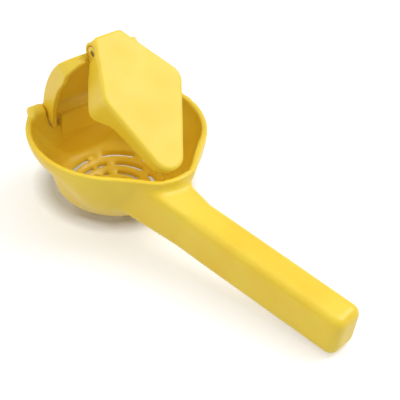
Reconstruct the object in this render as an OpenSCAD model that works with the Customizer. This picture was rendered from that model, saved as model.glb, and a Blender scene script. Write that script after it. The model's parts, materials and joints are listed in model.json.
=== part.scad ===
// Hinged lemon squeezer: a round bowl with a long handle, a rear link flap and
// a press lid hinged on top of the flap. Modelled standing open, as pictured.
// Millimetres, Z up. Origin under the centre of the bowl, on the table.
// X runs from the rear hinge over the nose of the bowl, both hinges turn about Y.

/* [Bowl] */
// outer radius of the round bowl
bowl_r = 43; // [38:0.5:50]
// wall of the bowl
bowl_wall = 3; // [2:0.25:4]
// height of the rim over the table
rim_z = 44; // [42:0.5:52]
// radius of the foot the bowl stands on
foot_r = 13; // [8:0.5:18]
// radius of the nose at the handle side
nose_r = 21; // [16:0.5:26]
// distance of the nose centre from the bowl centre
nose_x = 30; // [26:0.5:34]
// width of a strainer slot
slot_w = 1.6; // [1.2:0.1:2.2]

/* [Handle] */
// length of the handle from the bowl's nose to its tip
handle_reach = 104; // [96:1:140]
// how far the handle's top lies under the rim at the bowl
handle_step = 6.5; // [2:0.5:8]
// width of the handle
handle_w = 18; // [14:0.5:24]
// height of the handle
handle_t = 22; // [18:0.5:26]
// shift of the handle to the near side at the nose
handle_side = 3; // [0:0.5:4]
// rounding of all handle edges
handle_round = 4; // [2:0.5:6]
// turn of the handle from the bowl axis, in degrees
handle_yaw = 14; // [0:0.5:16]

/* [Hinges] */
// distance of the rear hinge behind the bowl centre
rear_x = 30; // [28:0.5:32]
// height of the rear hinge over the rim
rear_up = -1.5; // [-2:0.25:1]
// outer radius of the rear knuckles
knuckle_r = 4.75; // [4.5:0.25:6]
// half width over the rear knuckles
knuckle_y = 29; // [26:0.5:31]
// place of the lid hinge along X from the bowl centre
top_x = -6.5; // [-8:0.5:0]
// height of the lid hinge over the rim
top_up = 39; // [37:0.5:42]
// half width over the lid ears
ear_y = 9; // [8:0.5:12]
// outer radius of a lid ear
ear_r = 5.5; // [5:0.25:7]
// thickness of a lid ear
ear_t = 4; // [3:0.25:5]
// radius of the steel hinge pins
pin_r = 1.5; // [1.25:0.05:2]
// running clearance of the pins, radial
pin_gap = 0.05; // [0.02:0.01:0.09]
// side clearance between knuckles
side_gap = 0.4; // [0.3:0.05:0.8]

/* [Flap] */
// half width of the link flap at the rear hinge
flap_y = 21.5; // [19:0.5:24]
// skin of the link flap
flap_skin = 2.5; // [2:0.25:3.5]
// depth of the flap's side walls
flap_depth = 8; // [6:0.5:10]
// bending radius of the flap
flap_bend = 50; // [44:1:70]

/* [Lid] */
// half width of the press lid
lid_y = 21; // [18:0.5:22]
// shift of the lid's widest part to the far side
lid_shift = 4; // [0:0.5:5]
// half width of the lid over its hinge
lid_rear = 8.5; // [8:0.5:12]
// length of the lid from its hinge to the tip
lid_len = 64.5; // [62:0.5:67]
// height of the lid's outer face over its hinge
lid_face = 6; // [5:0.25:8]
// depth of the lid's skirt
lid_skirt = 10; // [8:0.5:12]
// slope of the lid, degrees below level
lid_slope = 38.5; // [36:0.5:39]
// rounding of the lid's outer edge
lid_round = 1.5; // [1:0.25:2.5]
// wall of the lid
lid_wall = 2.6; // [2:0.2:2.8]

/* [Hidden] */
$fn = 96;
rear_z = rim_z + rear_up;
top_z = rim_z + top_up;
chord = sqrt(pow(top_x + rear_x, 2) + pow(top_z - rear_z, 2));
flap_slope = atan2(top_z - rear_z, top_x + rear_x);
nose_sin = (bowl_r - nose_r) / nose_x;
nose_cos = sqrt(1 - nose_sin * nose_sin);
handle_back = 10;
nose_tip = nose_x + nose_r - bowl_wall;
handle_len = handle_reach + handle_back;
handle_drop = asin((rim_z - handle_step) / sqrt(handle_reach * handle_reach + handle_t * handle_t))
            - atan(handle_t / handle_reach);
yellow = [0.97, 0.82, 0.2];
steel = [0.72, 0.72, 0.7];

// bowl solid shrunk by d: big round, nose round and the cone that bridges them
module egg(d) {
    r1 = bowl_r - d;
    r2 = nose_r - d;
    sink = 0.35;
    more = 4;
    slope = (r1 - r2) * nose_cos / (nose_x - (r1 - r2) * nose_sin);
    translate([0, 0, rim_z]) rotate([0, 0, 163]) sphere(r = r1);
    translate([nose_x, 0, rim_z]) rotate([0, 0, 171]) sphere(r = r2);
    translate([r1 * nose_sin - more, 0, rim_z]) rotate([0, 90, 0]) rotate([0, 0, 23])
        cylinder(r1 = r1 * nose_cos - sink + more * slope, r2 = r2 * nose_cos - sink - more * slope,
                 h = nose_x - (r1 - r2) * nose_sin + 2 * more);
}

// rectangle with rounded corners, centred on its middle
module round_rect(w, h, r) {
    difference() {
        square([w, h], center = true);
        for (x = [-1, 1], y = [-1, 1]) translate([x * (w / 2 - r), y * (h / 2 - r)]) difference() {
            translate([x > 0 ? 0 : -r - 1, y > 0 ? 0 : -r - 1]) square(r + 1);
            circle(r = r);
        }
    }
}

// handle bar from the nose of the bowl down to the table
module handle() {
    translate([nose_tip, -handle_side, rim_z - handle_step]) rotate([0, 0, handle_yaw]) rotate([0, handle_drop, 0])
        translate([-handle_back, 0, -handle_t / 2]) rotate([90, 0, 90]) linear_extrude(handle_len)
            round_rect(handle_w, handle_t, handle_round);
}

// one broken ring of strainer slots
module slot_ring(r, n, a0) {
    difference() {
        translate([0, 0, -1]) cylinder(r = r + slot_w / 2, h = 30);
        translate([0, 0, -2]) cylinder(r = r - slot_w / 2, h = 32);
        for (i = [0:n - 1]) rotate([0, 0, a0 + i * 360 / n])
            translate([0, -1.6, -3]) cube([r + 4, 3.2, 34]);
    }
}

// knuckle block of the rear hinge, seen along Y
module knuckle() {
    w = knuckle_y - flap_y - side_gap;
    for (y = [flap_y + side_gap + w, -flap_y - side_gap])
        translate([-rear_x, y, rear_z]) rotate([90, 0, 0]) linear_extrude(w) {
            circle(r = knuckle_r);
            translate([0.7 - knuckle_r, -14]) square([2 * knuckle_r - 1.4, 14]);
        }
}

module bowl_body() color(yellow) difference() {
    union() {
        difference() {
            egg(0);
            translate([-100, -100, rim_z]) cube([300, 200, 100]);
            // open back, so that the flap can lean away
            translate([-100, -flap_y - side_gap, rim_z - 8])
                cube([100 - rear_x + knuckle_r + 1, 2 * (flap_y + side_gap), 100]);
        }
        handle();
        cylinder(r = foot_r, h = 6);
        knuckle();
    }
    // inside of the bowl, less a small flat button in the middle of its floor
    difference() {
        intersection() {
            egg(bowl_wall);
            translate([4 - rear_x, -100, -10]) cube([200, 200, 100]);
        }
        cylinder(r = 2.2, h = bowl_wall + 2);
    }
    for (s = [-1, 1]) translate([-rear_x, s * (flap_y - 1), rear_z]) rotate([-s * 90, 0, 0])
        cylinder(r = pin_r + pin_gap, h = knuckle_y - flap_y - 0.5);
    slot_ring(5.5, 3, 20);
    slot_ring(9.5, 4, 50);
    slot_ring(14, 5, 10);
    slot_ring(18.5, 6, 35);
    slot_ring(23, 7, 15);
}

// side view band of the flap between two radii, in the chord's own frame
module flap_band(d0, d1) {
    c = sqrt(flap_bend * flap_bend - chord * chord / 4);
    rotate([90, 0, 0]) translate([chord / 2, -c, -60]) difference() {
        cylinder(r = flap_bend + d1, h = 120);
        translate([0, 0, -1]) cylinder(r = flap_bend + d0, h = 122);
    }
}

module flap_outline(d) {
    intersection() {
        translate([0, -flap_y + d]) square([chord - d, 2 * (flap_y - d)]);
        translate([chord - 24.5, 0]) circle(r = 26 - d);
    }
    translate([0, -flap_y + d]) square([chord - 38, 2 * (flap_y - d)]);
}

module link_flap() color(yellow)
    translate([-rear_x, 0, rear_z]) rotate([0, -flap_slope, 0]) difference() {
        union() {
            difference() {
                intersection() {
                    flap_band(-flap_depth, flap_skin / 2);
                    translate([0, 0, -30]) linear_extrude(60) flap_outline(0);
                }
                intersection() {
                    flap_band(-flap_depth - 5, -flap_skin / 2);
                    translate([0, 0, -30]) linear_extrude(60) flap_outline(2.4);
                }
                // clear of the ears of the lid
                for (s = [-1, 1]) translate([chord, s * (ear_y - ear_t - side_gap), 0]) {
                    rotate([s * -90, 0, 0]) cylinder(r = ear_r + 0.6, h = ear_t + 2 * side_gap);
                    translate([-3, s > 0 ? 0 : -20, -30]) cube([20, 20, 60]);
                }
                // the side walls run out towards the lid hinge
                translate([chord - 24, -50, -3.6]) rotate([0, -6, 0]) translate([0, 0, -30]) cube([40, 100, 30]);
                translate([chord, 50, 0]) rotate([90, 0, 0]) cylinder(r = 3.6, h = 100);
            }
            translate([0, flap_y, 0]) rotate([90, 0, 0]) cylinder(r = 4.2, h = 2 * flap_y);
            // apron that hangs into the bowl
            rotate([0, flap_slope, 0]) translate([4.6, -16, -12]) cube([3, 32, 12]);
            rotate([0, flap_slope, 0]) translate([0, -16, -3]) cube([7, 32, 2.8]);
            translate([chord, ear_y - ear_t - side_gap, 0]) rotate([90, 0, 0])
                cylinder(r = 4, h = 2 * (ear_y - ear_t - side_gap));
        }
        translate([0, 60, 0]) rotate([90, 0, 0]) cylinder(r = pin_r + pin_gap, h = 120);
        translate([chord, 60, 0]) rotate([90, 0, 0]) cylinder(r = pin_r + pin_gap, h = 120);
    }

// plan of the lid, shrunk by d: narrow over the hinge, widest a third along, round at the tip
module lid_outline(d) {
    hull() for (s = [-1, 1]) {
        translate([3 - ear_r, s * (lid_rear - 3)]) circle(r = 3 - d);
        translate([24, lid_shift + s * (lid_y - 8)]) circle(r = 8 - d);
        translate([lid_len - 8, 0]) circle(r = 8 - d);
    }
}

// side view of the lid: deep cheeks behind the middle, a shallow skirt towards the tip
module lid_side() {
    translate([0, -50, 0]) rotate([-90, 0, 0]) linear_extrude(100) polygon([
        [-20, -lid_face - 4], [lid_len + 20, -lid_face - 4], [lid_len + 20, 0],
        [lid_len, 1], [36, lid_skirt - lid_face], [33, 6], [27, 12.5], [24, 14], [20, 14], [9, 9], [3, 4],
        [0, 0], [-20, 0]]);
}

module press_lid() color(yellow)
    translate([top_x, 0, top_z]) rotate([0, lid_slope, 0]) difference() {
        union() {
            difference() {
                intersection() {
                    minkowski() {
                        translate([0, 0, -20]) linear_extrude(20 + lid_face - lid_round)
                            lid_outline(lid_round);
                        sphere(r = lid_round, $fn = 24);
                    }
                    lid_side();
                }
                translate([0, 0, -30]) linear_extrude(30 + lid_face - 3) lid_outline(lid_wall);
                // room for the flap's knuckle
                translate([0, ear_y - ear_t, 0]) rotate([90, 0, 0])
                    cylinder(r = 4.6, h = 2 * (ear_y - ear_t));
                translate([-20, ear_t - ear_y, -20]) cube([20, 2 * (ear_y - ear_t), 24]);
            }
            for (s = [-1, 1]) translate([0, s * ear_y, 0]) rotate([s * 90, 0, 0])
                cylinder(r = ear_r, h = ear_t);
        }
        for (s = [-1, 1]) translate([0, s * (ear_y + 1), 0]) rotate([s * 90, 0, 0]) {
            cylinder(r = 4, h = 2.5);
            cylinder(r = pin_r + pin_gap, h = 10);
        }
    }

module rear_pins() color(steel)
    for (y = [knuckle_y - 1.6, 14 - flap_y]) translate([-rear_x, y, rear_z]) rotate([90, 0, 0])
        cylinder(r = pin_r, h = knuckle_y - flap_y + 12.4);

module lid_pins() color(steel)
    translate([top_x, ear_y - 0.6, top_z]) rotate([90, 0, 0]) cylinder(r = pin_r, h = 2 * ear_y - 1.2);

module lid_bushes() color(yellow)
    for (s = [-1, 1]) translate([top_x, s * (ear_y - 0.3), top_z]) rotate([s * 90, 0, 0])
        difference() {
            cylinder(r = 3.4, h = 1.2);
            translate([0, 0, -1]) cylinder(r = pin_r + pin_gap, h = 4);
        }

bowl_body();
link_flap();
press_lid();
rear_pins();
lid_pins();
lid_bushes();
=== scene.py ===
# Hinged lemon squeezer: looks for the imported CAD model. Metres, Z up, same frame as the CAD.
import json
import math
import bpy
from mathutils import Matrix, Vector

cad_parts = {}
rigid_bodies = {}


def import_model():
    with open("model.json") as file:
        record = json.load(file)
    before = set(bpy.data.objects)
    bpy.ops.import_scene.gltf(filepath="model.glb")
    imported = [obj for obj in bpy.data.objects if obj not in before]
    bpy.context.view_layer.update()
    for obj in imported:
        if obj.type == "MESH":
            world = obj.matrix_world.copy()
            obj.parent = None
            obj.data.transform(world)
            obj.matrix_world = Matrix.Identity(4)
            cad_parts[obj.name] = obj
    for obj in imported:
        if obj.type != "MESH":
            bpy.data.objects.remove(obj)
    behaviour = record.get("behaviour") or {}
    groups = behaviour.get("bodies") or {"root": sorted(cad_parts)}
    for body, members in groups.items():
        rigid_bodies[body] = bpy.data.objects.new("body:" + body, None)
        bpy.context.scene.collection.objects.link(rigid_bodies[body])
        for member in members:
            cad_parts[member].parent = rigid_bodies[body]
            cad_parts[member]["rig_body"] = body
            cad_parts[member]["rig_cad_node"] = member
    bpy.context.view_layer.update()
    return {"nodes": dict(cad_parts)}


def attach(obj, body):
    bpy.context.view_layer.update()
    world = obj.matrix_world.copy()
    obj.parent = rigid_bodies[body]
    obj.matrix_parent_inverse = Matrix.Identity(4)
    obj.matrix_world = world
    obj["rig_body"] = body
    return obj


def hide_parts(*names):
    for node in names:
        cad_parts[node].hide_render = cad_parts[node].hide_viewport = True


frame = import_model()

MM = 0.001
RIM_Z = 44 * MM                         # rim height of the bowl
BOWL_CENTRE = Vector((0, 0, RIM_Z))
NOSE_CENTRE = Vector((30 * MM, 0, RIM_Z))
BOWL_INSIDE, NOSE_INSIDE = 40 * MM, 18 * MM     # inner radii
NOSE_TIP = Vector((48, -3, 37.5)) * MM  # where the handle's top edge meets the nose
HANDLE_YAW = 14                         # degrees, turn of the handle from the bowl's axis
HANDLE_LONG = 104 * MM
HANDLE_WIDE = 18 * MM
HANDLE_TALL = 22 * MM
# fall of the handle that puts its lower end on the table
HANDLE_DROP = math.degrees(math.asin(NOSE_TIP.z / math.hypot(HANDLE_LONG, HANDLE_TALL))
                           - math.atan(HANDLE_TALL / HANDLE_LONG))
HANDLE_PLACE = (Matrix.Translation(NOSE_TIP) @ Matrix.Rotation(math.radians(HANDLE_YAW), 4, "Z")
                @ Matrix.Rotation(math.radians(HANDLE_DROP), 4, "Y"))
# how far the bowl is drawn in under its rim: degrees below the rim, share of the radius
WAIST = ((0, 1), (7, 0.98), (13, 0.945), (22, 0.895), (31, 0.885), (40, 0.93), (47, 0.99),
         (55, 1), (91, 1))


# ---------- modelling steps ----------

def only(obj):
    """Selects one object and makes it active."""
    bpy.ops.object.select_all(action="DESELECT")
    obj.select_set(True)
    bpy.context.view_layer.objects.active = obj


def modify(obj, kind, **settings):
    """Adds one modifier and applies it."""
    only(obj)
    m = obj.modifiers.new(kind.lower(), kind)
    for key, value in settings.items():
        setattr(m, key, value)
    bpy.ops.object.modifier_apply(modifier=m.name)


def settle(obj, name):
    """Names a finished piece and puts its place into its mesh."""
    only(obj)
    bpy.ops.object.transform_apply(location=True, rotation=True, scale=True)
    obj.name = name
    obj.data.name = name
    return obj


def cad_copy(node):
    """A copy of a CAD node's mesh, merged and facing outwards, to be shaped further."""
    obj = frame["nodes"][node].copy()
    obj.data = obj.data.copy()
    obj.parent = None
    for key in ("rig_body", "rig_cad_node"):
        if key in obj:
            del obj[key]
    bpy.context.scene.collection.objects.link(obj)
    obj.data.materials.clear()
    only(obj)
    bpy.ops.object.mode_set(mode="EDIT")
    bpy.ops.mesh.select_all(action="SELECT")
    bpy.ops.mesh.remove_doubles(threshold=2e-6)
    bpy.ops.mesh.normals_make_consistent(inside=False)
    bpy.ops.object.mode_set(mode="OBJECT")
    return obj


def fuse(obj, *others):
    """Joins closed shells into one object, for the remesh to weld."""
    only(obj)
    for o in others:
        o.select_set(True)
    bpy.ops.object.join()


def cut(obj, cutter):
    """Boolean cut with one closed shell, which is then thrown away."""
    modify(obj, "BOOLEAN", operation="DIFFERENCE", object=cutter, solver="EXACT")
    bpy.data.objects.remove(cutter)


def weld(obj, voxel):
    """Makes one even skin of all the shells in an object."""
    modify(obj, "REMESH", mode="VOXEL", voxel_size=voxel, adaptivity=0)


def moulded(obj, voxel, rounds):
    """Welds the shells and rounds every edge a little, as a mould does."""
    weld(obj, voxel)
    modify(obj, "SMOOTH", factor=0.5, iterations=rounds)
    bpy.ops.object.shade_smooth()


def block(size, centre, place, bevel=0, taper=None):
    """A block at its centre in the frame of place. taper narrows its +X end: the share of its
    width, the share of its height, and how far its top comes down, in shares of the height."""
    bpy.ops.object.select_all(action="DESELECT")
    bpy.ops.mesh.primitive_cube_add(size=1)
    obj = bpy.context.object
    obj.matrix_world = place @ Matrix.Translation(centre) @ Matrix.Diagonal((*size, 1))
    if taper:
        wide, tall, lower = taper
        for v in obj.data.vertices:
            if v.co.x > 0:
                v.co.y *= wide
                v.co.z = 0.5 + (v.co.z - 0.5) * tall - lower
    only(obj)
    bpy.ops.object.transform_apply(location=True, rotation=True, scale=True)
    if bevel:
        modify(obj, "BEVEL", width=bevel, segments=6, limit_method="ANGLE",
               angle_limit=math.radians(20))
    return obj


def ball(radius, centre):
    """A ball for hollowing the throat."""
    bpy.ops.object.select_all(action="DESELECT")
    bpy.ops.mesh.primitive_uv_sphere_add(segments=96, ring_count=48, radius=radius, location=centre)
    return bpy.context.object


# ---------- bowl with its handle ----------

def within(value):
    """Keeps a value between 0 and 1."""
    return max(0, min(1, value))


def waist(obj):
    """Draws the bowl in under its flared rim, as pictured, and less and less towards the nose."""
    nose_side, run = 26 * MM, 24 * MM
    for v in obj.data.vertices:
        away = v.co - BOWL_CENTRE
        if away.z >= 0:
            continue
        below = math.degrees(math.asin(within(-away.z / max(away.length, 1e-9))))
        share = next(a[1] + (b[1] - a[1]) * (below - a[0]) / (b[0] - a[0])
                     for a, b in zip(WAIST, WAIST[1:]) if a[0] <= below < b[0])
        fade = within((nose_side - v.co.x) / run)
        fade = fade * fade * (3 - 2 * fade)
        v.co = BOWL_CENTRE + away * (1 + (share - 1) * fade)


def soften_throat(obj, rounds):
    """Melts the handle into the outside of the bowl, most near the nose and less outwards."""
    behind, beyond = -34 * MM, 30 * MM               # reach along the handle
    middle, full, run = -4 * MM, 12 * MM, 18 * MM
    group = obj.vertex_groups.new(name="throat")
    local = HANDLE_PLACE.inverted()
    for v in obj.data.vertices:
        along = (local @ v.co).x
        outside = ((v.co - BOWL_CENTRE).length > BOWL_INSIDE + 1.6 * MM
                   and (v.co - NOSE_CENTRE).length > NOSE_INSIDE + 1.4 * MM)
        if outside and v.co.z < RIM_Z - 1.2 * MM and behind < along < beyond:
            near = 1 - max(0, (abs(along - middle) - full) / run)
            group.add([v.index], within(near), "REPLACE")
    modify(obj, "SMOOTH", factor=0.6, iterations=rounds, vertex_group="throat")
    obj.vertex_groups.clear()


def make_bowl():
    """The bowl with its waist, a bar with rounded ends and a soft throat between them."""
    bowl = cad_copy("bowl_body")
    weld(bowl, 0.65 * MM)
    waist(bowl)
    # the plain CAD bar comes off 8 mm from the nose, and one with rounded ends takes its place
    cut(bowl, block((100 * MM, 30 * MM, 40 * MM), (58 * MM, 0, -HANDLE_TALL / 2), HANDLE_PLACE))
    start = 3 * MM
    bar = block((HANDLE_LONG - start, HANDLE_WIDE, HANDLE_TALL),
                ((HANDLE_LONG + start) / 2, 0, -HANDLE_TALL / 2), HANDLE_PLACE, 4.8 * MM)
    # throat: the handle widens and rises into the rim of the bowl
    throat = block((44 * MM, 28 * MM, 24 * MM), (-4 * MM, 0, -7 * MM), HANDLE_PLACE, 3 * MM,
                   taper=(0.62, 0.86, 0.221))
    cut(throat, ball(BOWL_INSIDE, BOWL_CENTRE))
    cut(throat, ball(NOSE_INSIDE, NOSE_CENTRE))
    over_rim = NOSE_CENTRE + Vector((0, 0, 20 * MM))
    cut(throat, block((200 * MM, 200 * MM, 40 * MM), over_rim, Matrix.Identity(4)))
    fuse(bowl, bar, throat)
    moulded(bowl, 0.68 * MM, 6)
    soften_throat(bowl, 60)
    return settle(bowl, "bowl_shell")


def make_copy(node, name, voxel, rounds):
    """A plainer moulding: the CAD shape with its edges rounded, voxel in millimetres."""
    piece = cad_copy(node)
    moulded(piece, voxel * MM, rounds)
    return settle(piece, name)


# ---------- materials ----------

def srgb(code):
    """Hex colour to linear values."""
    parts = [int(code[i:i + 2], 16) / 255 for i in (1, 3, 5)]
    return tuple(c / 12.92 if c <= 0.04045 else ((c + 0.055) / 1.055) ** 2.4 for c in parts) + (1,)


def add(tree, kind, settings=None, links=None):
    """Adds one node. Numbers and colours go to settings, and links take other nodes' outputs."""
    n = tree.nodes.new(kind)
    for key, value in (settings or {}).items():
        if isinstance(key, str) and hasattr(n, key):
            setattr(n, key, value)
        else:
            n.inputs[key].default_value = value
    for key, out in (links or {}).items():
        tree.links.new(out, n.inputs[key])
    return n


def new_material(name):
    """An empty material and its node tree."""
    m = bpy.data.materials.new(name)
    m.use_nodes = True
    m.node_tree.nodes.clear()
    return m, m.node_tree


def moulded_plastic(name, base, deep, rough):
    """Injection moulded polypropylene: dense yellow pigment, satin mould skin that softens
    reflections, faint flow clouds in the colour and shallow sink marks over thick places."""
    m, t = new_material(name)
    where = add(t, "ShaderNodeTexCoord").outputs["Object"]
    # clouds of pigment about 25 mm across
    clouds = add(t, "ShaderNodeTexNoise", {"Scale": 40, "Detail": 3, "Roughness": 0.5},
                 {"Vector": where})
    tint = add(t, "ShaderNodeMapRange",
               {"From Min": 0.35, "From Max": 0.65, "To Min": 0.0, "To Max": 1.0},
               {"Value": clouds.outputs["Fac"]})
    colour = add(t, "ShaderNodeMix", {"data_type": "RGBA", 6: srgb(base), 7: srgb(deep)},
                 {0: tint.outputs["Result"]})
    # mould skin: grain of 0.35 mm, drawn a little coarser than the real 0.1 mm so that it shows
    grain = add(t, "ShaderNodeTexNoise", {"Scale": 2800, "Detail": 2, "Roughness": 0.6},
                {"Vector": where})
    # handling marks: soft patches that change the gloss over 10 mm. A roughness under 0.28
    # leaves dark specks in a denoised render
    smear = add(t, "ShaderNodeTexNoise", {"Scale": 100, "Detail": 1, "Roughness": 0.4},
                {"Vector": where})
    gloss = add(t, "ShaderNodeMapRange",
                {"From Min": 0.3, "From Max": 0.7, "To Min": rough - 0.03, "To Max": rough + 0.06},
                {"Value": smear.outputs["Fac"]})
    # sink marks 12 mm apart, a few hundredths of a millimetre deep
    sink = add(t, "ShaderNodeTexNoise", {"Scale": 80, "Detail": 1, "Roughness": 0.4},
               {"Vector": where})
    low = add(t, "ShaderNodeBump", {"Strength": 0.25, "Distance": 0.0004},
              {"Height": sink.outputs["Fac"]})
    skin = add(t, "ShaderNodeBump", {"Strength": 0.12, "Distance": 0.00006},
               {"Height": grain.outputs["Fac"], "Normal": low.outputs["Normal"]})
    shader = add(t, "ShaderNodeBsdfPrincipled",
                 {"IOR": 1.49, "Specular IOR Level": 0.5},
                 {"Base Color": colour.outputs[2], "Roughness": gloss.outputs["Result"],
                  "Normal": skin.outputs["Normal"]})
    add(t, "ShaderNodeOutputMaterial", links={"Surface": shader.outputs["BSDF"]})
    return m


def drawn_steel_wire(name):
    """Stainless wire pins: drawn along their length, cut and lightly tumbled ends."""
    m, t = new_material(name)
    where = add(t, "ShaderNodeTexCoord").outputs["Object"]
    # draw lines run along Y, 0.15 mm apart across the wire
    stretch = add(t, "ShaderNodeMapping", {"Scale": (6000, 200, 6000)}, {"Vector": where})
    lines = add(t, "ShaderNodeTexNoise", {"Scale": 1, "Detail": 3},
                {"Vector": stretch.outputs["Vector"]})
    gloss = add(t, "ShaderNodeMapRange", {"To Min": 0.22, "To Max": 0.42},
                {"Value": lines.outputs["Fac"]})
    tone = add(t, "ShaderNodeMix", {"data_type": "RGBA", 6: srgb("#B9B6AE"), 7: srgb("#97948C")},
               {0: lines.outputs["Fac"]})
    bump = add(t, "ShaderNodeBump", {"Strength": 0.2, "Distance": 0.00005},
               {"Height": lines.outputs["Fac"]})
    shader = add(t, "ShaderNodeBsdfPrincipled", {"Metallic": 1.0},
                 {"Base Color": tone.outputs[2], "Roughness": gloss.outputs["Result"],
                  "Normal": bump.outputs["Normal"]})
    add(t, "ShaderNodeOutputMaterial", links={"Surface": shader.outputs["BSDF"]})
    return m


def dress(obj, material):
    """Gives an object one material."""
    obj.data.materials.clear()
    obj.data.materials.append(material)


# ---------- floor, light and camera ----------

def paper_floor():
    """A plain pale floor that looks white to the camera and in reflections."""
    bpy.ops.object.select_all(action="DESELECT")
    bpy.ops.mesh.primitive_plane_add(size=6, location=(0, 0, 0))
    floor = bpy.context.object
    floor.name = "floor"
    m, t = new_material("white_sweep_paper")
    path = add(t, "ShaderNodeLightPath")
    seen = add(t, "ShaderNodeMath", {"operation": "MAXIMUM"},
               {0: path.outputs["Is Camera Ray"], 1: path.outputs["Is Glossy Ray"]})
    # the lift to white stops under the bowl, so that the floor keeps its shadow there
    where = add(t, "ShaderNodeTexCoord").outputs["Object"]
    off = add(t, "ShaderNodeVectorMath", {"operation": "DISTANCE", 1: (-0.012, 0.008, 0)}, {0: where})
    open_air = add(t, "ShaderNodeMapRange",
                   {"From Min": 0.032, "From Max": 0.042, "To Min": 0.0, "To Max": 0.45},
                   {"Value": off.outputs["Value"]})
    lift = add(t, "ShaderNodeMath", {"operation": "MULTIPLY"},
               {0: seen.outputs[0], 1: open_air.outputs["Result"]})
    paper = add(t, "ShaderNodeBsdfDiffuse", {"Color": srgb("#DCDDDF")})
    glow = add(t, "ShaderNodeEmission", {"Color": srgb("#FFFFFF")}, {"Strength": lift.outputs[0]})
    both = add(t, "ShaderNodeAddShader", None, {0: paper.outputs[0], 1: glow.outputs[0]})
    add(t, "ShaderNodeOutputMaterial", links={"Surface": both.outputs[0]})
    dress(floor, m)


def white_world():
    """Soft even light, seen as white by the camera."""
    world = bpy.data.worlds.new("studio")
    bpy.context.scene.world = world
    world.use_nodes = True
    t = world.node_tree
    t.nodes.clear()
    path = add(t, "ShaderNodeLightPath")
    clear = add(t, "ShaderNodeMath", {"operation": "MAXIMUM"},
                {0: path.outputs["Is Camera Ray"], 1: path.outputs["Is Transmission Ray"]})
    soft = add(t, "ShaderNodeBackground", {"Color": srgb("#FFFFFF"), "Strength": 0.5})
    white = add(t, "ShaderNodeBackground", {"Color": srgb("#FFFFFF"), "Strength": 1.0})
    pick = add(t, "ShaderNodeMixShader", None,
               {0: clear.outputs[0], 1: soft.outputs[0], 2: white.outputs[0]})
    add(t, "ShaderNodeOutputWorld", links={"Surface": pick.outputs[0]})


def soft_boxes():
    """Large soft boxes: key from the upper right behind, a warm fill from the front left."""
    aim = Vector((0.04, 0, 0.03))
    for name, place, size, power, tint in (("key", (0.35, 0.75, 1.05), 0.8, 8.5, "#FFFFFF"),
                                           ("fill", (-0.5, -0.9, 0.75), 1.0, 4.6, "#FFF0D2"),
                                           ("top", (0.1, 0.0, 1.3), 0.7, 2.0, "#FFFFFF")):
        data = bpy.data.lights.new(name, "AREA")
        data.size = size
        data.energy = power
        data.color = srgb(tint)[:3]
        lamp = bpy.data.objects.new(name, data)
        bpy.context.scene.collection.objects.link(lamp)
        lamp.location = place
        lamp.rotation_euler = (aim - Vector(place)).to_track_quat("-Z", "Y").to_euler()


def camera():
    """The photograph's view: 35 degrees down, 34 degrees to the near side of the bowl's axis."""
    az, el, far = math.radians(-34), math.radians(35), 0.70
    place = BOWL_CENTRE + far * Vector((math.cos(az) * math.cos(el), math.sin(az) * math.cos(el),
                                        math.sin(el)))
    data = bpy.data.cameras.new("camera")
    data.sensor_width = 36
    data.lens = 133.4
    cam = bpy.data.objects.new("camera", data)
    bpy.context.scene.collection.objects.link(cam)
    cam.location = place
    # level on the bowl, then turned by the least rotation towards the middle of the whole
    # squeezer, which lies these shares of the frame to the right and down
    to_right, down = 0.209, 0.1875
    level = (BOWL_CENTRE - place).to_track_quat("-Z", "Y")
    ahead, right, up = (level @ Vector(v) for v in ((0, 0, -1), (1, 0, 0), (0, 1, 0)))
    middle = ahead + (to_right * right - down * up) * data.sensor_width / data.lens
    cam.rotation_euler = (ahead.rotation_difference(middle) @ level).to_euler()
    bpy.context.scene.camera = cam


# ---------- assembly ----------

camera()
paper_floor()
white_world()
soft_boxes()
bpy.context.scene.view_settings.view_transform = "Standard"

plastic = moulded_plastic("moulded_polypropylene_yellow", "#F8DB42", "#F6D235", 0.33)
lid_plastic = moulded_plastic("moulded_polypropylene_lid", "#F8DC46", "#F6D437", 0.33)
steel = drawn_steel_wire("drawn_stainless_wire")

for piece, body, node, slot, finish in (
        (make_bowl(), "bowl", "bowl_body", "bowl_plastic", plastic),
        (make_copy("link_flap", "flap_shell", 0.4, 5), "flap", "link_flap", "flap_plastic", plastic),
        (make_copy("press_lid", "lid_shell", 0.45, 6), "lid", "press_lid", "lid_plastic",
         lid_plastic)):
    dress(piece, finish)
    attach(piece, body)
    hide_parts(node)

for node in ("rear_pins", "lid_pins"):
    dress(frame["nodes"][node], steel)
dress(frame["nodes"]["lid_bushes"], lid_plastic)
